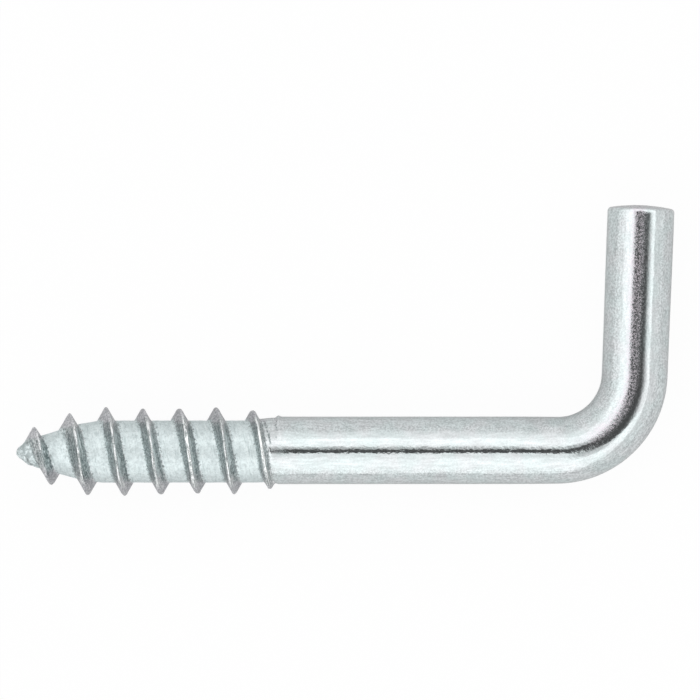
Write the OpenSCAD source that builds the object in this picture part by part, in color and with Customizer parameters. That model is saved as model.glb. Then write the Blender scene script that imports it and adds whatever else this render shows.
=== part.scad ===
// Square bend screw hook: one length of zinc-plated steel wire with a rolled wood-screw thread and a
// gimlet point at one end, a plain round shank, and a short upright arm bent up at the other end.
// Millimetres. The hook lies flat as it comes to rest: the arm along +Y, the point towards -X, +Z up,
// the floor at Z = 0 and the origin in the middle of the floor side of its box.

/* [Wire] */
// Thickness of the plain wire
wire_d = 6; // [5:0.1:7]

/* [Hook] */
// From the point to the outer side of the bend
overall_l = 57.9; // [50:0.1:68]
// From the underside of the shank to the end of the arm
arm_h = 24.8; // [20:0.1:32]
// Radius on the inside of the bend
bend_inner_r = 3.9; // [2.5:0.1:7]
// How far the arm leans out past a right angle, in degrees
arm_lean = 2.2; // [0.5:0.1:6]
// How much the radius of the wire shrinks where it is bent
bend_thin = 0.05; // [0.02:0.01:0.1]
// Length over which the wire comes back to full size on each side of the bend
bend_blend = 1.5; // [0.8:0.1:3]

/* [Thread] */
// From the point to the end of the thread
thread_l = 23.2; // [18:0.05:28]
// Distance from one turn to the next
pitch = 3.25; // [2.6:0.05:3.6]
// How far the crest stands out past the plain wire
thread_rise = 0.95; // [0.6:0.05:1.2]
// How far the core between the turns lies below the plain wire
core_drop = 0.25; // [0.15:0.05:0.5]
// Width of the narrow land on the crest
crest_w = 0.3; // [0.15:0.05:0.45]
// Full angle between the two flanks of a turn, in degrees
flank_angle = 58; // [50:1:66]
// From the point to the first crest on the arm's side
first_crest = 1.45; // [1.25:0.05:1.8]
// How far the rolled screw lies off the middle of the plain wire, away from the arm
thread_aside = 0.1; // [0:0.02:0.14]

/* [Point] */
// Length of the tapered point
point_l = 7.4; // [6:0.1:9]
// Radius of the rounded tip
nose_r = 0.6; // [0.4:0.05:0.7]
// Length of the steep nose behind the tip
nose_l = 1.1; // [1:0.05:1.4]
// Thickness at the end of the steep nose
nose_d = 2.3; // [2:0.05:2.6]

/* [Shank start] */
// How far the short neck behind the thread lies below the plain wire
neck_drop = 0.1; // [0.05:0.01:0.14]
// How far the line left by the thread dies stands out past the plain wire
bead_rise = 0.15; // [0.04:0.01:0.2]

/* [Arm end] */
// Radius of the slightly bulged end face
end_r = 14.5; // [9:0.5:30]
// Radius of the softened edge round the end face
end_edge_r = 0.35; // [0.15:0.05:0.7]

/* [Hidden] */
wire_r = wire_d / 2;
crest_r = wire_r + thread_rise;
core_r = wire_r - core_drop;
neck_r = wire_r - neck_drop;
bead_r = wire_r + bead_rise;
bend_r = bend_inner_r + wire_r;
bent_r = wire_r - bend_thin;
seam = 0.01;
overlap = 0.4;

// The point: a rounded tip, a steep cone that touches it, a long cone, and a flatter one up to the core
shoulder_x = 0.73 * point_l;
shoulder_r = 0.88 * core_r;
nose_far = norm([nose_l - nose_r, nose_d / 2]);
nose_turn = atan2(nose_d / 2, nose_l - nose_r) + acos(nose_r / nose_far);
nose_x = nose_r + nose_r * cos(nose_turn);
nose_y = nose_r * sin(nose_turn);

// The neck and the line left by the dies
neck_x0 = thread_l - 1.75;
neck_x1 = thread_l - 1.15;
neck_x2 = thread_l - 0.3;
bead_x0 = thread_l - 0.1;
bead_x1 = thread_l + 0.1;
shank_x = thread_l + 0.35;

// The bend: its middle, where the arm starts, and which way the arm goes
bend_x = overall_l - wire_r - bend_r + (wire_r + bend_r) * (1 - cos(arm_lean));
arm_x = bend_x + bend_r * cos(arm_lean);
arm_y = bend_r - bend_r * sin(arm_lean);
arm_way = [sin(arm_lean), cos(arm_lean), 0];

// The arm: how far its axis runs from the bend to the top of the end face, and its straight part
end_mid = sqrt(pow(end_r - end_edge_r, 2) - pow(wire_r - end_edge_r, 2));
end_sweep = asin((wire_r - end_edge_r) / (end_r - end_edge_r));
arm_top = arm_h - wire_r;
arm_l = end_sweep > arm_lean
  ? (arm_top - arm_y - end_r) / cos(arm_lean) + end_r
  : (arm_top - arm_y - end_edge_r - (wire_r - end_edge_r) * sin(arm_lean)) / cos(arm_lean) + end_r - end_mid;
arm_straight = arm_l - end_r + end_mid;

// The helix: 48 steps a turn, starting on the nose and fading out on the neck
turn_steps = 48;
sink = 0.25;
flank = tan(flank_angle / 2);
fade_in_x = 0.4;
fade_in_l = 0.45 * pitch;
last_l = 4.55;
last_drop = 0.6;
fade_out_l = 0.9;
helix_steps = ceil((thread_l + 0.08 - fade_in_x) / pitch * turn_steps);

function soft(t) = t <= 0 ? 0 : t >= 1 ? 1 : t * t * (3 - 2 * t);

// Radius of the core under the thread
function core_at(x) =
  x >= neck_x1 ? neck_r
  : x >= neck_x0 ? core_r + (neck_r - core_r) * (x - neck_x0) / (neck_x1 - neck_x0)
  : x >= point_l ? core_r
  : x >= shoulder_x ? shoulder_r + (core_r - shoulder_r) * (x - shoulder_x) / (point_l - shoulder_x)
  : x >= nose_l ? nose_d / 2 + (shoulder_r - nose_d / 2) * (x - nose_l) / (shoulder_x - nose_l)
  : x >= nose_x ? nose_y + (nose_d / 2 - nose_y) * (x - nose_x) / (nose_l - nose_x)
  : sqrt(max(0.01, pow(nose_r, 2) - pow(nose_r - x, 2)));

// Radius of the crest: it comes out of the nose, follows the cone, then gets lower over the last turn
function crest_at(x) =
  core_at(x) + (crest_r - core_r + sink) * soft((x - fade_in_x) / fade_in_l) - sink
  - (x > neck_x0 ? core_at(x) - core_r : 0)
  - last_drop * pow(max(0, (x - thread_l + last_l) / last_l), 2)
  - (crest_r - core_r + sink) * soft((x - thread_l + 0.8) / fade_out_l);

// Radius of the hidden foot of the ridge inside the core
function foot_at(x) = max(0.2, min(core_at(max(0.05, x - 0.7)), core_at(x)) - sink);

function crest_half(x) = crest_w / 2;
function foot_half(x) = crest_w / 2 + max(0.05, crest_at(x) - foot_at(x)) * flank;

function ridge_ring(x, turn) =
  let (top = max(crest_at(x), foot_at(x) + 0.08), low = foot_at(x), a = crest_half(x), b = foot_half(x))
  [for (p = [[-b, low], [-a, top - 0.06], [0, top], [a, top - 0.06], [b, low]])
    [x + p[0], p[1] * cos(turn), p[1] * sin(turn)]];

// How the hook rests: on the whole length of the arm and on the crest that reaches lowest
function floor_crest(k) = first_crest + (k + 0.75) * pitch;
function tilt_at(x) =
  let (s = (arm_x - x) * cos(arm_lean) - (arm_y + thread_aside) * sin(arm_lean), r = crest_at(x))
  atan2(r, s) - asin(wire_r / norm([s, r]));
rest_tilt = max([for (k = [0:floor((thread_l - 1.5 - first_crest) / pitch - 0.75)]) tilt_at(floor_crest(k))]);

// The box of the resting hook, from which its middle comes
box_x0 = arm_x - (arm_x - nose_r) * cos(rest_tilt) - nose_r;
box_x1 = arm_x + arm_straight * sin(arm_lean) + (wire_r - end_edge_r) * cos(arm_lean) + end_edge_r;
box_y0 = -crest_r - thread_aside;
box_y1 = arm_top;

$fn = 48;

module resting() {
  translate([-(box_x0 + box_x1) / 2, -(box_y0 + box_y1) / 2, wire_r])
    translate([arm_x, arm_y, 0])
      rotate(a = rest_tilt, v = arm_way)
        translate([-arm_x, -arm_y, 0])
          children();
}

// Point, core and neck, round the axis of the rolled screw
module screw() {
  translate([0, -thread_aside, 0]) rotate([0, 90, 0]) rotate_extrude() {
    polygon([
      [0, nose_r], [0, thread_l], [neck_r, thread_l], [neck_r, neck_x1],
      [core_r, neck_x0], [core_r, point_l], [shoulder_r, shoulder_x], [nose_d / 2, nose_l], [nose_y, nose_x]
    ]);
    intersection() {
      translate([0, nose_r]) circle(r = nose_r);
      square([nose_r, nose_r]);
    }
  }
}

// The plain shank, from inside the neck to the bend, with the line left by the dies at its start
module shank() {
  rotate([0, 90, 0]) rotate_extrude() polygon([
    [0, neck_x2], [0, bend_x], [bent_r + seam, bend_x], [wire_r, bend_x - bend_blend], [wire_r, shank_x],
    [bead_r, bead_x1], [bead_r, bead_x0], [neck_r - 0.3, neck_x2]
  ]);
}

// The thread: one ridge wound round the core, right-handed
module ridge() {
  rings = [for (i = [0:helix_steps])
    let (x = fade_in_x + pitch * i / turn_steps)
    ridge_ring(x, 360 * (x - first_crest) / pitch)];
  n = len(rings[0]);
  points = [for (ring = rings) each ring];
  start = [for (j = [n - 1:-1:0]) j];
  finish = [for (j = [0:n - 1]) helix_steps * n + j];
  sides = [for (i = [0:helix_steps - 1], j = [0:n - 1])
    let (a = i * n + j, b = i * n + (j + 1) % n)
    each [[a, b, b + n], [a, b + n, a + n]]];
  translate([0, -thread_aside, 0]) polyhedron(points = points, faces = concat([start, finish], sides));
}

// The bend between the shank and the arm, a little thinner than both, and running a hair into each
module bend() {
  translate([bend_x, bend_r, 0]) rotate([0, 0, -90 - overlap])
    rotate_extrude(angle = 90 - arm_lean + 2 * overlap) translate([bend_r, 0]) circle(r = bent_r);
}

// The arm with its bulged end face and softened edge
module arm() {
  translate([arm_x, arm_y, 0]) rotate([0, 0, -arm_lean]) rotate([-90, 0, 0]) rotate_extrude() {
    polygon([[0, 0], [bent_r + seam, 0], [wire_r, bend_blend], [wire_r, arm_straight], [0, arm_straight]]);
    intersection() {
      translate([0, arm_l - end_r]) circle(r = end_r, $fn = 240);
      polygon([
        [0, arm_straight - 1], [0, arm_l + 1],
        [(end_r + 1) * sin(end_sweep), arm_l - end_r + (end_r + 1) * cos(end_sweep)],
        [wire_r - end_edge_r, arm_straight], [wire_r - end_edge_r, arm_straight - 1]
      ]);
    }
    translate([wire_r - end_edge_r, arm_straight]) circle(r = end_edge_r);
  }
}

module screw_hook() {
  color("#b8bcbf") resting() union() {
    screw();
    ridge();
    shank();
    bend();
    arm();
  }
}

screw_hook();
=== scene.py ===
# Square bend screw hook: one length of zinc-plated steel wire with a rolled wood-screw thread, a plain
# shank and a short upright arm. It lies on a white table and is seen from straight above.
import math

import bpy
import numpy as np
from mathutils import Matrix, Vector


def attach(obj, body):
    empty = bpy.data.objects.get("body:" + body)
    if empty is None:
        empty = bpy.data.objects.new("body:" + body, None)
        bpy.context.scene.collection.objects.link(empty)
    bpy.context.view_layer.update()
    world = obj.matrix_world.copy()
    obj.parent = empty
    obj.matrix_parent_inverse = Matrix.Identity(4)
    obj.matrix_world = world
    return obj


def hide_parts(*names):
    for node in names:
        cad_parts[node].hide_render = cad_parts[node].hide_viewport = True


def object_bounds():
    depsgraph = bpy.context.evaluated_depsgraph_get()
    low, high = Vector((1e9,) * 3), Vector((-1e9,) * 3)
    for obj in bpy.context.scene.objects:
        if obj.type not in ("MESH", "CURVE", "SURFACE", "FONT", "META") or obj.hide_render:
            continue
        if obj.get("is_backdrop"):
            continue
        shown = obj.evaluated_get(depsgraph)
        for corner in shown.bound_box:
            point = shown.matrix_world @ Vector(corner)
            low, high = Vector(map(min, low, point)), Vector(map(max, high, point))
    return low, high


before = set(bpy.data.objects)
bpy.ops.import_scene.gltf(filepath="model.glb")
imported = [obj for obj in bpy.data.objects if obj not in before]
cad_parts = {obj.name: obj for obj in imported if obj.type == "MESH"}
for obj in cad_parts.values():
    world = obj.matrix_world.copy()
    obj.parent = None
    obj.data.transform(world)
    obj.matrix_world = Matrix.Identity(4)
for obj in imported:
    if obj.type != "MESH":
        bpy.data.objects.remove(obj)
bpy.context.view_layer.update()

# The wire.
# Round drawn steel wire, 6 mm thick, bent cold to a square hook round a small mandrel. The bend and the
# foot of the arm are a little thinner than the rest, where the steel was stretched. All sizes are in mm.
mm = 0.001
wire_r = 3.0
stretched_by = 0.045
arm_thinner_by = 0.025
drawn_uneven_by = 0.003
overall_l = 57.9
arm_h = 24.8
bend_inner_r = 3.9
arm_lean = math.radians(2.2)
bend_r = bend_inner_r + wire_r
bend_x = overall_l - wire_r - bend_r + (wire_r + bend_r) * (1 - math.cos(arm_lean))
bend_turn = math.pi / 2 - arm_lean
arm_start = bend_x + bend_r * bend_turn
arm_x = bend_x + bend_r * math.cos(arm_lean)
arm_y = bend_r - bend_r * math.sin(arm_lean)


def soft(t):
    t = np.clip(t, 0, 1)
    return t * t * (3 - 2 * t)


def wander(a, b):
    """A slow unevenness between -1 and 1."""
    waves = np.sin(1.7 * a + 2.3 * b + 0.5)
    waves = waves + np.sin(2.9 * a - 1.3 * b + 1.7)
    waves = waves + np.sin(0.8 * a + 3.1 * b + 4.1)
    return waves / 3


def wire_radius(along, angle):
    """Radius of the plain wire. Angle 0 faces the side of the arm, and a quarter turn faces up."""
    stretched = soft((along - bend_x + 4) / 7) * soft((arm_start + 14 - along) / 14)
    radius = wire_r - stretched_by * stretched - arm_thinner_by * soft((along - bend_x) / 8)
    return radius - drawn_uneven_by * (1 + wander(along * 0.7, angle))


def bent(along, across, up):
    """Where a point of the straight wire is once the hook is bent."""
    turn = np.clip((along - bend_x) / bend_r, 0, bend_turn)
    past = np.maximum(along - arm_start, 0)
    x = np.minimum(along, bend_x) + (bend_r - across) * np.sin(turn) + past * np.cos(turn)
    y = bend_r - (bend_r - across) * np.cos(turn) + past * np.sin(turn)
    return np.stack([x, y, up], -1)


# The point and the thread.
# Two flat dies roll the steel of the wire's end between them: they press the root down, raise one
# right-handed ridge out of it, and pinch the end to a gimlet point. The ridge fades out on a short neck.
pitch = 3.25
first_crest = 1.45
thread_aside = 0.1
crest_rise = 0.95
core_r = wire_r - 0.25
neck_r = wire_r - 0.1
land_half = 0.06
flank_slope = math.tan(math.radians(29))
thread_end = 23.2
last_l = 4.55
last_drop = 0.6
fade_in_x = 0.4
fade_in_l = 0.45 * pitch
fade_out_lead = 0.8
fade_out_l = 0.9
sunk = 0.25
root_fillet = 0.17
bead_rise = 0.15
bead_width = 0.19
pit_depth = 0.045
pits_round = 24
fold_depth = 0.10
die_mark_depth = 0.05
nick_count = 26
point_l = 7.4
nose_r = 0.6
nose_l = 1.1
nose_end_r = 1.15
nose_far = math.hypot(nose_l - nose_r, nose_end_r)
nose_turn = math.atan2(nose_end_r, nose_l - nose_r) + math.acos(nose_r / nose_far)
nose_x = nose_r + nose_r * math.cos(nose_turn)
nose_y = nose_r * math.sin(nose_turn)
tip_arc = nose_r * (math.pi - nose_turn)
tip_extra = tip_arc - nose_x
columns = 144
shank_start = thread_end + 0.75


def least(a, b, blend):
    return np.minimum(a, b) - np.clip(1 - np.abs(a - b) / blend, 0, None) ** 2 * blend / 4


def most(a, b, blend):
    return -least(-a, -b, blend)


def hump(x, middle, width):
    return np.exp(-(((x - middle) / width) ** 2))


def core_line(x):
    """Radius of the root between the turns, along the screw."""
    corners_x = [nose_x, nose_l, 0.73 * point_l, point_l, thread_end + 9]
    corners_r = [nose_y, nose_end_r, 0.88 * core_r, core_r, core_r]
    cone = sum(np.interp(x + d, corners_x, corners_r) for d in (-0.24, -0.12, 0, 0.12, 0.24)) / 5
    sharp = np.interp(x, corners_x, corners_r)
    cone = sharp + (cone - sharp) * soft((x - 0.5) / 0.6)
    ball = np.sqrt(np.maximum(nose_r**2 - (nose_r - np.minimum(x, nose_x)) ** 2, 0))
    return np.where(x < nose_x, ball, cone)


def crest_line(x, angle):
    """Radius of the crest: it comes out of the nose, follows the cone and drops over its last turn."""
    full = wire_r + crest_rise - core_r
    rise = (full + sunk) * soft((x - fade_in_x) / fade_in_l) - sunk
    rise = rise - last_drop * np.clip((x - thread_end + last_l) / last_l, 0, None) ** 2
    rise = rise - (full + sunk) * soft((x - thread_end + fade_out_lead) / fade_out_l)
    uneven = 0.12 * hump(x, 6.2, 1.2) - 0.12 * soft((x - 9.6) / 1.6) * soft((22.6 - x) / 1.2)
    uneven = uneven - 0.10 * hump(x, 16.0, 0.9) + 0.12 * hump(x, 17.6, 0.8)
    return core_line(np.maximum(x, 0.3)) + rise + uneven * soft((np.sin(angle) + 0.9) / 0.5)


# Each row of points follows the helix at its own distance from the crest, closest on the crest and flanks
side = np.array([
    0.05, 0.10, 0.15, 0.20, 0.26, 0.34, 0.43, 0.52, 0.61,
    0.69, 0.75, 0.80, 0.85, 0.91, 0.99, 1.10, 1.25, 1.42,
])
offsets = np.concatenate([[-pitch / 2], -side[::-1], [0], side])
rows = len(offsets)
first_column = -columns
last_column = int(math.ceil((shank_start + pitch / 2 - first_crest) / pitch * columns))
column = np.arange(first_column, last_column + columns + 1)
helix_x = (first_crest + pitch * column / columns)[:, None]
angle = (2 * math.pi * column / columns)[:, None] + 0 * offsets[None, :]
walk = helix_x + tip_extra + offsets[None, :]
x = np.where(walk < tip_arc, nose_r * (1 - np.cos(np.clip(walk, 0, tip_arc) / nose_r)), walk - tip_extra)
x = np.clip(x, 0, shank_start)
off = x - helix_x

# The ridge, with a few nicks along its crest
dice = np.random.default_rng(11)
nick_places = dice.uniform(0, 7, nick_count)
nick_widths = dice.uniform(0.010, 0.028, nick_count)
nick_depths = dice.uniform(0.02, 0.07, nick_count)
nicks = np.zeros(len(column))
for place, width, depth in zip(nick_places, nick_widths, nick_depths):
    nicks += depth * hump(column / columns, place, width)
crest = crest_line(helix_x, angle) - nicks[:, None] * soft(1 - np.abs(off) / 0.5)
crest = crest - 0.02 * (1 + wander(helix_x * 2.1, 0.6 * np.cos(angle)))
land_now = land_half + 0.07 * hump(helix_x, 14.5, 3) + 0.05 * soft((helix_x - 19) / 1.5)
land_now = land_now + 0.025 * wander(1.9 * helix_x, 5 * angle)
flank_fall = (most(np.abs(off), land_now, 0.06) - land_now) / flank_slope
ridge = crest - flank_fall - 0.4 * np.minimum(off**2, 0.06)
ridge = ridge + 0.010 * wander(7 * off, 2.6 * angle)

# The core steps up to the neck behind the last turn, past a mark of the dies. The nose has a fold.
round_once = np.mod(angle, 2 * math.pi)
last_turn = first_crest + 6 * pitch + pitch * np.minimum(round_once / (2 * math.pi), 0.72)
last_turn = last_turn - 2.3 * soft((round_once - 4.9) / 1.2)
neck = soft((x - last_turn) / 0.5)
die_mark = neck * hump(x - last_turn, 0.84, 0.10) * soft((1.75 - round_once) / 0.5)
core = core_line(x) + (neck_r - core_r) * neck
core = core + 0.010 * wander(2.2 * x, 3 * angle) * soft((x - 0.3) / 2) * (1 - neck)
core = core + 0.030 * wander(5.5 * x, 2 * angle) * soft(x / 0.4) * soft((2.2 - x) / 1.5)
fold = hump(np.abs(off), pitch / 2, 0.07) * soft((x - 0.5) / 0.3) * soft((1.7 - x) / 0.3)
core = core - fold_depth * fold - die_mark_depth * die_mark
bead_side = soft((np.cos(angle) - 0.2) / 0.4)
shank = soft((x - last_turn - 0.30) / 0.45)
shank = shank + (soft((x - thread_end + 0.25) / 0.5) - shank) * bead_side
core = core + (wire_radius(x, angle) - core) * shank

# The dies end in a raised line on the side of the arm, with a row of small pits before it
core = core + bead_rise * bead_side * hump(x, thread_end, bead_width)
pits = (0.4 + 0.6 * np.cos(pits_round * angle) ** 2) * bead_side * hump(x - thread_end, -0.22, 0.10)
core = core - pit_depth * pits

radius = np.where(walk <= 0, 0, most(core, ridge, root_fillet))

# Where each point lies for the finish: on the land of the crest, which wanders a little, on a flank or in
# the rolled part, and how far it has gone round the thread
foot = 0.92 * (land_now + np.maximum(crest - core, 0) * flank_slope)
high = soft((crest - core) / 0.25)
land_middle = 0.09 + 0.16 * wander(1.3 * helix_x, 4 * angle)
land = high * np.clip(0.5 + (land_now + 0.15 - np.abs(off - land_middle)) / 0.16, 0, 1)
land = land * (0.65 + 0.35 * soft((helix_x - 3.2) / 2.5))
# The flank mask also takes in the fold, the die mark and the pits: the finish paints all of them with the
# dark flank tone as painted shade
flank = high * np.clip(0.5 + (foot + 0.12 * (off > 0) - np.abs(off)) / 0.44, 0, 1) + 0.8 * fold
flank = np.clip(flank + 1.1 * die_mark + 1.5 * pits, 0, 1)
rolled = 1 - soft((x - last_turn - 0.2) / 0.3)
wound = np.stack([angle * radius, off, 0 * x], -1)

# Points and faces of the thread. All rows meet in one point at the tip and in one ring at the shank.
ring = 1 + np.mod(column, columns)[:, None] + 0 * offsets[None, :].astype(int)
number = 1 + columns + np.arange(angle.size).reshape(angle.shape)
number = np.where(walk <= 0, 0, np.where(x >= shank_start, ring, number)).astype(int)
# How far a point stands out sideways past the root: there the finish paints the thread an even grey, a
# painted reflection at the outline
proud = np.abs(radius * np.cos(angle)) - core_line(np.maximum(helix_x, 0.3))
look = np.stack([0 * x, flank, land, rolled, proud], -1)
aside = (thread_aside + 0.06 * soft((5.5 - x) / 3.5)) * soft((thread_end - 0.5 - x) / 1.2)
straight = np.stack([x, radius * np.cos(angle) - aside, radius * np.sin(angle)], -1)
points = np.zeros((1 + columns + angle.size, 3))
looks = np.zeros((len(points), 5))
windings = np.zeros((len(points), 3))
points[number] = straight
looks[number] = look
windings[number] = wound

# The texture map: the plain wire as one band, and the turns of the thread in rows above it
section = np.maximum(1.2 - np.maximum(np.abs(offsets) - land_half, 0) / flank_slope, 0)
profile = np.concatenate([[0], np.cumsum(np.hypot(np.diff(offsets), np.diff(section)))])
profile = np.append(profile, profile[-1] + pitch / 2 - side[-1])
map_size = 50.0
map_gap = 0.5
plain_turn = 2 * math.pi * wire_r
faces = []
face_uvs = []


def on_map(*places):
    """The places on the texture map of the four corners of each quad."""
    return np.stack([np.stack(place, -1) for place in places], -2) / map_size


def add_faces(corners, uvs):
    """Adds quads, and triangles where two corners have met."""
    for ids, places in zip(corners.reshape(-1, 4).tolist(), uvs.reshape(-1, 4, 2).tolist()):
        kept = [k for k in range(4) if ids[k] != ids[k - 1]]
        if len(kept) > 2:
            faces.append([ids[k] for k in kept])
            face_uvs.extend([places[k] for k in kept])


strips = last_column - first_column
i, j = np.meshgrid(np.arange(strips), np.arange(rows), indexing="ij")
next_row = np.where(j + 1 == rows, columns, 0)
upper = np.where(j + 1 == rows, 0, j + 1)
corners = [number[i, j], number[i + 1, j], number[i + 1 + next_row, upper], number[i + next_row, upper]]
turn = i // columns
map_turn = map_size / 2 - 2 * map_gap
map_x = map_gap + (turn % 2) * (map_size / 2) + (i - turn * columns) * map_turn / columns
next_x = map_x + map_turn / columns
map_y = plain_turn + 2 * map_gap + (turn // 2) * (profile[-1] + map_gap)
low_y = map_y + profile[j]
high_y = map_y + profile[j + 1]
add_faces(np.stack(corners, -1), on_map((map_x, low_y), (next_x, low_y), (next_x, high_y), (map_x, high_y)))

# The shank, the bend, the arm and its end.
# Plain round steel wire up to the end of the arm, where it was sheared off square and then tumbled: the end
# face bulges a little and its edge is soft.
end_r = 14.5
end_edge_r = 0.35
end_mid = math.sqrt((end_r - end_edge_r) ** 2 - (wire_r - end_edge_r) ** 2)
end_sweep = math.asin((wire_r - end_edge_r) / (end_r - end_edge_r))
arm_l = (arm_h - wire_r - arm_y - end_r) / math.cos(arm_lean) + end_r
arm_straight = arm_start + arm_l - end_r + end_mid

stations = int(round((arm_straight - shank_start) / 0.29))
along = shank_start + (arm_straight - shank_start) * np.arange(1, stations + 1) / stations
shrink = np.ones(stations)
edge = np.linspace(0, math.pi / 2 - end_sweep, 8)[1:]
along = np.append(along, arm_straight + end_edge_r * np.sin(edge))
shrink = np.append(shrink, (wire_r - end_edge_r + end_edge_r * np.cos(edge)) / wire_r)
dome = end_sweep * np.linspace(1, 0, 14)[1:-1]
along = np.append(along, arm_start + arm_l - end_r + end_r * np.cos(dome))
shrink = np.append(shrink, end_r * np.sin(dome) / wire_r)

around = (2 * math.pi * np.arange(columns) / columns)[None, :]
along = along[:, None] + 0 * around
radius = wire_radius(along, around) * shrink[:, None]
on_face = soft((0.95 - shrink[:, None]) / 0.2)
face_dent = 0.03 * wander(1.1 * radius * np.cos(around), 0.9 * radius * np.sin(around)) * on_face
along_cut = along - np.abs(face_dent)
tube = np.stack([along_cut, radius * np.cos(around), radius * np.sin(around)], -1).reshape(-1, 3)
tube_looks = np.zeros((len(tube), 5))
tube_looks[:, 0] = (soft((0.985 - shrink) / 0.03)[:, None] + 0 * around).ravel()
pole = [[arm_start + arm_l, 0, 0]]
tube_first = len(points)
points = np.concatenate([points, tube, pole])
looks = np.concatenate([looks, tube_looks, [[1, 0, 0, 0, 0]]])
windings = np.concatenate([windings, np.zeros((len(tube) + 1, 3))])

rings = np.concatenate([[1 + np.arange(columns)], tube_first + np.arange(len(tube)).reshape(-1, columns)])
rings = np.concatenate([rings, np.full((1, columns), len(points) - 1)])
over_face = along[:, 0] + 0.9 * (1 - shrink) * wire_r
lengths = np.concatenate([[shank_start], over_face, [along[-1, 0] + wire_r]])
k, c = np.meshgrid(np.arange(len(rings) - 1), np.arange(columns), indexing="ij")
beside = (c + 1) % columns
corners = np.stack([rings[k, c], rings[k, beside], rings[k + 1, beside], rings[k + 1, c]], -1)
run = map_gap + (lengths - shank_start) * (map_size - 2 * map_gap) / (lengths[-1] - shank_start)
across = map_gap + plain_turn * np.arange(columns + 1) / columns
uvs = on_map(
    (run[k], across[c]), (run[k], across[c + 1]), (run[k + 1], across[c + 1]), (run[k + 1], across[c])
)
add_faces(corners, uvs)

# The hook as one mesh, laid down as it comes to rest: on the arm and on the lowest crest of the thread
rest_crest_x = first_crest + 5.75 * pitch
rest_crest_r = wire_r + crest_rise - last_drop * ((rest_crest_x - thread_end + last_l) / last_l) ** 2
rest_reach = (arm_x - rest_crest_x) * math.cos(arm_lean) - (arm_y + thread_aside) * math.sin(arm_lean)
rest_tilt = math.atan2(rest_crest_r, rest_reach) - math.asin(wire_r / math.hypot(rest_reach, rest_crest_r))
arm_way = np.array([math.sin(arm_lean), math.cos(arm_lean), 0])
box_x0 = arm_x - (arm_x - nose_r) * math.cos(rest_tilt) - nose_r
box_x1 = arm_x + (arm_straight - arm_start) * math.sin(arm_lean)
box_x1 = box_x1 + (wire_r - end_edge_r) * math.cos(arm_lean) + end_edge_r
box_y0 = -wire_r - crest_rise - thread_aside
middle = np.array([(box_x0 + box_x1) / 2, (arm_h - wire_r + box_y0) / 2, -wire_r])


def laid_down(place):
    """Turns the bent hook about the arm until the thread rests on the table."""
    arm_at = np.array([arm_x, arm_y, 0])
    p = place - arm_at
    lengthwise = (p @ arm_way)[:, None] * arm_way
    turned = p * math.cos(rest_tilt) + np.cross(arm_way, p) * math.sin(rest_tilt)
    turned = turned + lengthwise * (1 - math.cos(rest_tilt))
    return (turned + arm_at - middle) * mm


# Points that no face uses are left out of the mesh
used = np.unique(np.concatenate([np.array(f) for f in faces]))
renumber = np.zeros(len(points), int)
renumber[used] = np.arange(len(used))
points = points[used]
looks = looks[used]
windings = windings[used]
faces = [[int(renumber[v]) for v in f] for f in faces]
hook_mesh = bpy.data.meshes.new("screw_hook_plated")
hook_mesh.from_pydata(laid_down(bent(*points.T)).tolist(), [], faces)
hook_mesh.shade_smooth()
hook_mesh.attributes.new("straight", "FLOAT_VECTOR", "POINT").data.foreach_set("vector", points.ravel())
hook_mesh.attributes.new("wound", "FLOAT_VECTOR", "POINT").data.foreach_set("vector", windings.ravel())
for name, values in zip(("cut_end", "flank", "crest", "rolled", "proud"), looks.T):
    hook_mesh.attributes.new(name, "FLOAT", "POINT").data.foreach_set("value", np.ascontiguousarray(values))
hook_mesh.uv_layers.new(name="OFBake").uv.foreach_set("vector", np.array(face_uvs).ravel())
hook = bpy.data.objects.new("screw_hook_plated", hook_mesh)
bpy.context.scene.collection.objects.link(hook)
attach(hook, "root")
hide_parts("screw_hook")

# The zinc plate.
# A thin bright electroplated coat of zinc over the whole hook. It is glossy with faint draw lines on the
# plain wire, frosted in the rolled root and on the side of the bend's mandrel, dull on the flanks of the
# thread, and rubbed bright along its crest. The flanks, the fold, the die mark and the pits are painted
# dark as shade, and where the thread faces sideways at the outline it is painted an even grey as a
# reflection.
plain_tones = (0.585, 0.645, 0.648), (0.615, 0.642, 0.652)
mandrel_tone = (0.66, 0.60, 0.655)
root_tones = (0.60, 0.665, 0.67), (0.69, 0.76, 0.765)
root_streak_dark = (0.46, 0.53, 0.535)
root_streak_light = (0.80, 0.85, 0.85)
foot_speckle_dark = (0.30, 0.35, 0.355)
nose_dark = (0.34, 0.385, 0.39)
# Painted shade: the flank tones are much darker than the rest of the zinc, for the shade on the flanks and
# in the grooves
flank_shade_tones = (0.21, 0.255, 0.26), (0.40, 0.42, 0.43)
flank_light = (0.66, 0.70, 0.70)
scuff_dark = (0.13, 0.16, 0.165)
grain_dark = (0.19, 0.22, 0.22)
# Painted reflection: an even grey for the flanks and crest where they face sideways at the outline
outline_reflection_tones = (0.34, 0.35, 0.37), (0.66, 0.66, 0.68)
crest_tones = (0.26, 0.29, 0.29), (0.82, 0.84, 0.84)
sheared_tone = (0.50, 0.50, 0.515)
zinc = bpy.data.materials.new("zinc_plate")
zinc.use_nodes = True
tree = zinc.node_tree
tree.nodes.clear()


def node(kind, tree, inputs=(), **settings):
    """A node with its settings, and its inputs by name or number: a link where the value is a socket."""
    made = tree.nodes.new("ShaderNode" + kind)
    for name, value in settings.items():
        setattr(made, name, value)
    for name, value in dict(inputs).items():
        if isinstance(value, bpy.types.NodeSocket):
            tree.links.new(value, made.inputs[name])
        else:
            made.inputs[name].default_value = value
    return made


def sums(kind, a, b, tree, c=0.0):
    return node("Math", tree, {0: a, 1: b, 2: c}, operation=kind).outputs[0]


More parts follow.
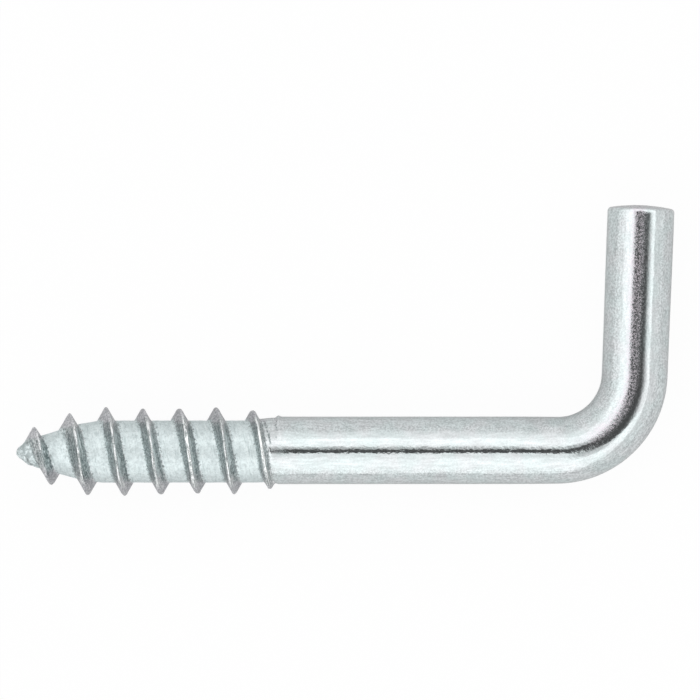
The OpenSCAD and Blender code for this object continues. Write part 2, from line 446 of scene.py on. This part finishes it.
def between(value, low, high, tree, to_low=0.0, to_high=1.0):
    inputs = {"Value": value, 1: low, 2: high, 3: to_low, 4: to_high}
    return node("MapRange", tree, inputs, interpolation_type="SMOOTHSTEP").outputs[0]


def tones(share, first, second, tree, how="MIX"):
    made = node("Mix", tree, {0: share}, data_type="RGBA", blend_type=how)
    for at, value in ((6, first), (7, second)):
        if isinstance(value, bpy.types.NodeSocket):
            tree.links.new(value, made.inputs[at])
        else:
            made.inputs[at].default_value = (*value, 1)
    return made.outputs[2]


def levels(share, first, second, tree):
    return node("Mix", tree, {0: share, 2: first, 3: second}, data_type="FLOAT").outputs[0]


def speckle(place, scale, detail, tree, rough=0.6, warp=0.0):
    inputs = {"Vector": place, "Scale": scale, "Detail": detail, "Roughness": rough, "Distortion": warp}
    return node("TexNoise", tree, inputs).outputs[0]


def worn(name, tree):
    return node("Attribute", tree, attribute_name=name).outputs["Fac"]


# Everything is laid out on the straight wire, or on the thread unwound, so that no mark slides with a view
on_wire = node("Attribute", tree, attribute_name="straight").outputs["Vector"]
on_thread = node("Attribute", tree, attribute_name="wound").outputs["Vector"]
along, inward = node("SeparateXYZ", tree, {0: on_wire}).outputs[:2]
drawn = node("Mapping", tree, {"Vector": on_wire, "Scale": (0.6, 3.4, 3.4)}).outputs[0]
draw_lines = speckle(drawn, 1.0, 6, tree, 0.68, 0.2)
rolled_marks = node("Mapping", tree, {"Vector": on_wire, "Scale": (3.0, 3.8, 3.8)}).outputs[0]
scallops = speckle(rolled_marks, 1.0, 1.6, tree, 0.5)
frost = speckle(on_wire, 5.5, 2, tree, 0.55)
grain = speckle(on_wire, 2.2, 5, tree, 0.75, 0.3)
crystals = speckle(on_wire, 9.5, 2, tree, 0.5)
patches = speckle(on_wire, 0.5, 3, tree, 0.5)
scuffed = node("Mapping", tree, {"Vector": on_thread, "Scale": (1.2, 6.0, 1.0)}).outputs[0]
scuffs = speckle(scuffed, 1.0, 5, tree, 0.7)
long_marks = node("Mapping", tree, {"Vector": on_thread, "Scale": (0.5, 2.0, 1.0)}).outputs[0]
drift = speckle(long_marks, 1.0, 2, tree, 0.5)
streaked = node("Mapping", tree, {"Vector": on_thread, "Scale": (0.7, 4.5, 1.0)}).outputs[0]
streaks = speckle(streaked, 1.0, 4, tree, 0.65)

# Where the coat is which: the rolled part with its flanks and crest, the bend with the arm, and on it the
# side of the mandrel, which is frosted with fine crystals
rolled_part = worn("rolled", tree)
ragged = sums("SUBTRACT", speckle(on_wire, 3.6, 3, tree, 0.7), 0.5, tree)
flank_part = between(sums("MULTIPLY_ADD", ragged, 2.0, tree, worn("flank", tree)), 0.40, 0.72, tree)
crest_part = between(sums("MULTIPLY_ADD", ragged, 2.2, tree, worn("crest", tree)), 0.40, 0.80, tree)
# Where the painted reflection of the outline replaces the flank and crest tones
outline_reflection_share = between(worn("proud", tree), -0.30, 0.05, tree)
on_arm = between(along, bend_x - 6, arm_start - 2, tree)
on_bend = between(along, bend_x, bend_x + 5, tree)
past_bend = between(along, arm_start - 2, arm_start + 5, tree, 0, 0.12)
mandrel_side = between(sums("ADD", past_bend, inward, tree), -0.42, 0.22, tree)
mandrel_side = sums("MULTIPLY", mandrel_side, between(inward, 1.3, 0.7, tree), tree)
mandrel_side = sums("MULTIPLY", mandrel_side, on_bend, tree)
crystal_mix = levels(0.5, crystals, frost, tree)
frosted = sums("MULTIPLY", between(crystal_mix, 0.41, 0.61, tree, 0.20, 0.92), mandrel_side, tree)

# The plain wire, with more speckle on its two sides than on top
plain_tone = tones(between(patches, 0.35, 0.65, tree), *plain_tones, tree)
lined = between(draw_lines, 0.28, 0.68, tree, 0.85, 1.06)
on_sides = between(sums("ABSOLUTE", inward, 0.0, tree), 1.3, 2.2, tree)
speckle_low = levels(on_sides, levels(on_arm, 0.955, 0.90, tree), levels(on_arm, 0.84, 0.79, tree), tree)
speckled = between(frost, 0.36, 0.62, tree, speckle_low, levels(on_sides, 1.035, 1.16, tree))
lined = sums("MULTIPLY", lined, speckled, tree)
grey = node("CombineColor", tree, {0: lined, 1: lined, 2: lined}).outputs[0]
plain_tone = tones(1.0, plain_tone, grey, tree, "MULTIPLY")
plain_tone = tones(frosted, plain_tone, mandrel_tone, tree)

# The rolled root, speckled darker most at the foot of the flanks, and the mottled nose
root_tone = tones(between(grain, 0.42, 0.58, tree), *root_tones, tree)
root_tone = tones(between(streaks, 0.47, 0.34, tree, 0, 0.8), root_tone, root_streak_dark, tree)
root_tone = tones(between(streaks, 0.55, 0.66, tree, 0, 0.6), root_tone, root_streak_light, tree)
at_foot = between(worn("flank", tree), 0.0, 0.25, tree, 0.25, 1)
# A darker speckle over the root, strongest at the foot of the flanks
darker_at_foot = sums("MULTIPLY", between(frost, 0.47, 0.36, tree), at_foot, tree)
root_tone = tones(darker_at_foot, root_tone, foot_speckle_dark, tree)
mottled = sums("MULTIPLY", between(along, 3.2, 1.6, tree), between(grain, 0.54, 0.44, tree, 0, 0.7), tree)
root_tone = tones(mottled, root_tone, nose_dark, tree)

# The flanks, painted dark as shade with random scuffs, which turn to an even grey painted reflection at
# the outline, and the crest, which takes the same painted grey at the outline
flank_shade_sheen_and_scuffs = tones(between(drift, 0.42, 0.58, tree), *flank_shade_tones, tree)
flank_shade_sheen_and_scuffs = tones(between(scuffs, 0.50, 0.60, tree), flank_shade_sheen_and_scuffs, flank_light, tree)
flank_shade_sheen_and_scuffs = tones(between(scuffs, 0.49, 0.41, tree), flank_shade_sheen_and_scuffs, scuff_dark, tree)
flank_shade_sheen_and_scuffs = tones(between(frost, 0.51, 0.64, tree, 0, 0.8), flank_shade_sheen_and_scuffs, flank_light, tree)
flank_shade_sheen_and_scuffs = tones(between(frost, 0.49, 0.36, tree, 0, 0.6), flank_shade_sheen_and_scuffs, grain_dark, tree)
outline_reflection_tone = tones(between(frost, 0.38, 0.62, tree), *outline_reflection_tones, tree)
flank_shade_sheen_and_scuffs = tones(outline_reflection_share, flank_shade_sheen_and_scuffs, outline_reflection_tone, tree)
crest_grain = levels(0.15, levels(0.5, scuffs, drift, tree), frost, tree)
crest_tone = tones(between(crest_grain, 0.44, 0.53, tree), *crest_tones, tree)
# The crest also turns to the painted reflection grey at the outline
crest_tone = tones(between(worn("proud", tree), 0.0, 0.6, tree), crest_tone, outline_reflection_tone, tree)

colour = tones(rolled_part, plain_tone, root_tone, tree)
colour = tones(flank_part, colour, flank_shade_sheen_and_scuffs, tree)
colour = tones(crest_part, colour, crest_tone, tree)
sheared = sums("MULTIPLY", worn("cut_end", tree), between(grain, 0.35, 0.60, tree, 0.9, 0.5), tree)
colour = tones(sheared, colour, sheared_tone, tree)

# Gloss, duller just behind the thread
rough = between(frost, 0.3, 0.7, tree, 0.06, 0.11)
rough = levels(between(along, thread_end + 1.3, thread_end, tree), rough, 0.20, tree)
rough = levels(frosted, rough, 0.31, tree)
rough = levels(sheared, rough, 0.34, tree)
rough = levels(rolled_part, rough, between(grain, 0.3, 0.7, tree, 0.60, 0.48), tree)
rough = levels(flank_part, rough, 0.40, tree)
rough = levels(crest_part, rough, 0.22, tree)

# Relief in millimetres
lines_height = sums("MULTIPLY", scallops, levels(on_arm, 0.011, 0.005, tree), tree)
lines_height = sums("MULTIPLY_ADD", draw_lines, 0.002, tree, lines_height)
frost_height = sums("MULTIPLY", frost, levels(mandrel_side, 0.0030, 0.0057, tree), tree)
crystal_height = sums("MULTIPLY", mandrel_side, 0.007, tree)
frost_height = sums("MULTIPLY_ADD", crystals, crystal_height, tree, frost_height)
plain_height = sums("ADD", lines_height, frost_height, tree)
root_height = sums("MULTIPLY_ADD", grain, 0.03, tree, sums("MULTIPLY", frost, 0.012, tree))
height = levels(rolled_part, plain_height, root_height, tree)
bump = node("Bump", tree, {"Height": height, "Distance": mm, "Strength": 1.0})

inputs = {"Base Color": colour, "Roughness": rough, "Metallic": 1.0, "Normal": bump.outputs[0]}
shader = node("BsdfPrincipled", tree, inputs)
shader.inputs["Specular Tint"].default_value = (0.88, 0.88, 0.88, 1)
node("OutputMaterial", tree, {"Surface": shader.outputs[0]})
hook_mesh.materials.append(zinc)

# The table.
# A plain sheet of matt white card, larger than any view of the hook. The camera sees it nearly as pure
# white, with a trace of the hook's shadow.
floor_half = 0.8
seen_white = 0.955
card_tones = (0.71, 0.71, 0.71), (0.74, 0.74, 0.74)
floor_mesh = bpy.data.meshes.new("table_card")
floor_corners = [(floor_half * a, floor_half * b, 0) for a, b in ((-1, -1), (1, -1), (1, 1), (-1, 1))]
floor_mesh.from_pydata(floor_corners, [], [(0, 1, 2, 3)])
floor = bpy.data.objects.new("table_card", floor_mesh)
bpy.context.scene.collection.objects.link(floor)
card = bpy.data.materials.new("white_card")
card.use_nodes = True
tree = card.node_tree
tree.nodes.clear()
card_place = node("NewGeometry", tree).outputs["Position"]
fibres = speckle(card_place, 900.0, 3, tree)
card_tone = tones(fibres, *card_tones, tree)
inputs = {"Base Color": card_tone, "Roughness": 0.9, "Specular IOR Level": 0.1}
card_shader = node("BsdfPrincipled", tree, inputs)
plain_white = node("Emission", tree, {"Color": (1, 1, 1, 1), "Strength": 1.0})
white_share = sums("MULTIPLY", node("LightPath", tree).outputs["Is Camera Ray"], seen_white, tree)
mixed = node("MixShader", tree, {0: white_share, 1: card_shader.outputs[0], 2: plain_white.outputs[0]})
node("OutputMaterial", tree, {"Surface": mixed.outputs[0]})
floor_mesh.materials.append(card)
floor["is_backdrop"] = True

# The light.
# A soft white tent, brighter overhead than at the horizon, with a narrow dark gap over the hook where the
# camera looks in. Places in it are given by the angles to the right of and behind straight up, in degrees.
skirt_low = 0.80
skirt_high = 0.97
panel_glow = 0.60
dimmed_by = 0.28
gap_glow = 0.105
world = bpy.data.worlds.new("light_tent")
world.use_nodes = True
tree = world.node_tree
tree.nodes.clear()
way = node("TexCoord", tree).outputs["Generated"]
parts = node("SeparateXYZ", tree, {0: way}).outputs
right = sums("ARCTAN2", parts[0], parts[2], tree)
back = sums("ARCTAN2", parts[1], parts[2], tree)


def edge_at(value, from_degrees, to_degrees, tree, low=0.0, high=1.0):
    return between(value, math.radians(from_degrees), math.radians(to_degrees), tree, low, high)


def ramp_at(value, from_degrees, to_degrees, tree, low, high):
    inputs = {"Value": value, 1: math.radians(from_degrees), 2: math.radians(to_degrees), 3: low, 4: high}
    return node("MapRange", tree, inputs).outputs[0]


# The skirt all round, and the panel overhead, which is dimmed a little round the gap
left_fall = ramp_at(right, -104, -50, tree, 0, 0.62)
left_fall = sums("MULTIPLY_ADD", edge_at(right, -63, -50, tree), 0.38, tree, left_fall)
panel = sums("MULTIPLY", left_fall, edge_at(right, 53, 48.5, tree, 0.13, 1.0), tree)
panel = sums("MULTIPLY", panel, ramp_at(back, -90, -48, tree, 0.5, 1), tree)
panel = sums("MULTIPLY", panel, edge_at(back, -92.5, -80.5, tree), tree)
far_side = edge_at(back, 38.5, 46.5, tree, 0, 0.45)
far_side = sums("ADD", far_side, edge_at(back, 46.5, 78.5, tree, 0, 0.55), tree)
panel = sums("MULTIPLY", panel, sums("SUBTRACT", 1.0, far_side, tree), tree)
near_gap = sums("MULTIPLY", edge_at(back, -43.5, -13.5, tree), edge_at(back, 26, 6.5, tree), tree)
near_gap = sums("MULTIPLY", near_gap, edge_at(right, -12, -5, tree), tree)
near_gap = sums("MULTIPLY", near_gap, edge_at(right, 18, 10, tree), tree)
dimming = sums("MULTIPLY", near_gap, dimmed_by, tree)
panel = sums("SUBTRACT", sums("MULTIPLY", panel, panel_glow, tree), dimming, tree)
skirt = edge_at(parts[2], 0.5, 3.5, tree, skirt_low, skirt_high)
tent = sums("ADD", skirt, panel, tree)

# The gap is a long slot that widens on the near side, towards the right
swell = sums("SINE", ramp_at(right, 6.0, 19.0, tree, 0, math.pi / 2), 0.0, tree)
near_edge = sums("MULTIPLY_ADD", swell, math.radians(-13), tree, math.radians(-8.4))
far_edge = edge_at(right, -2.5, -0.3, tree, math.radians(11), math.radians(4.2))
gap_x = sums("MULTIPLY", edge_at(right, -23.5, -18.5, tree), edge_at(right, 46, 21.5, tree), tree)
gap_near = edge_at(sums("SUBTRACT", back, near_edge, tree), -1.4, 1.2, tree)
gap_far = edge_at(sums("SUBTRACT", back, far_edge, tree), 1.5, -1.5, tree)
gap = sums("MULTIPLY", gap_x, sums("MULTIPLY", gap_near, gap_far, tree), tree)

# A veil and some dusk beside the gap
veil = sums("MULTIPLY", edge_at(right, 7.5, 12.5, tree, 0, 0.42), edge_at(right, 31, 24, tree), tree)
veil = sums("MULTIPLY", veil, edge_at(sums("SUBTRACT", back, near_edge, tree), -16, -9, tree), tree)
veil = sums("MULTIPLY", veil, edge_at(back, 0, -4, tree), tree)
tent = sums("MULTIPLY", tent, sums("SUBTRACT", 1.0, veil, tree), tree)
dusk = sums("MULTIPLY", edge_at(right, -0.5, 1.4, tree, 0, 0.5), edge_at(right, 8, 4, tree), tree)
dusk = sums("MULTIPLY", dusk, edge_at(back, 14, 12, tree), tree)
dusk = sums("MULTIPLY", dusk, edge_at(back, 0, 2, tree), tree)
tent = sums("MULTIPLY", tent, sums("SUBTRACT", 1.0, dusk, tree), tree)
glow = levels(gap, tent, gap_glow, tree)
background = node("Background", tree, {"Color": (1, 1, 1, 1), "Strength": glow})
node("OutputWorld", tree, {"Surface": background.outputs[0]})
bpy.context.scene.world = world

# The camera.
# It looks straight down on the hook from 600 mm, in a picture 700 pixels wide, in which a millimetre at the
# height of the wire's middle is 11.25 pixels.
camera_height = 600
pixels_wide = 700
pixels_per_mm = 11.25
camera_data = bpy.data.cameras.new("camera")
camera_data.sensor_width = 36
camera_data.lens = camera_data.sensor_width * pixels_per_mm * (camera_height - wire_r) / pixels_wide
camera_data.clip_start = 0.01
camera = bpy.data.objects.new("camera", camera_data)
camera.location = (0.36 * mm, 0.036 * mm, camera_height * mm)
bpy.context.scene.collection.objects.link(camera)
bpy.context.scene.camera = camera
bpy.context.scene.view_settings.view_transform = "Standard"

low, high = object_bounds()
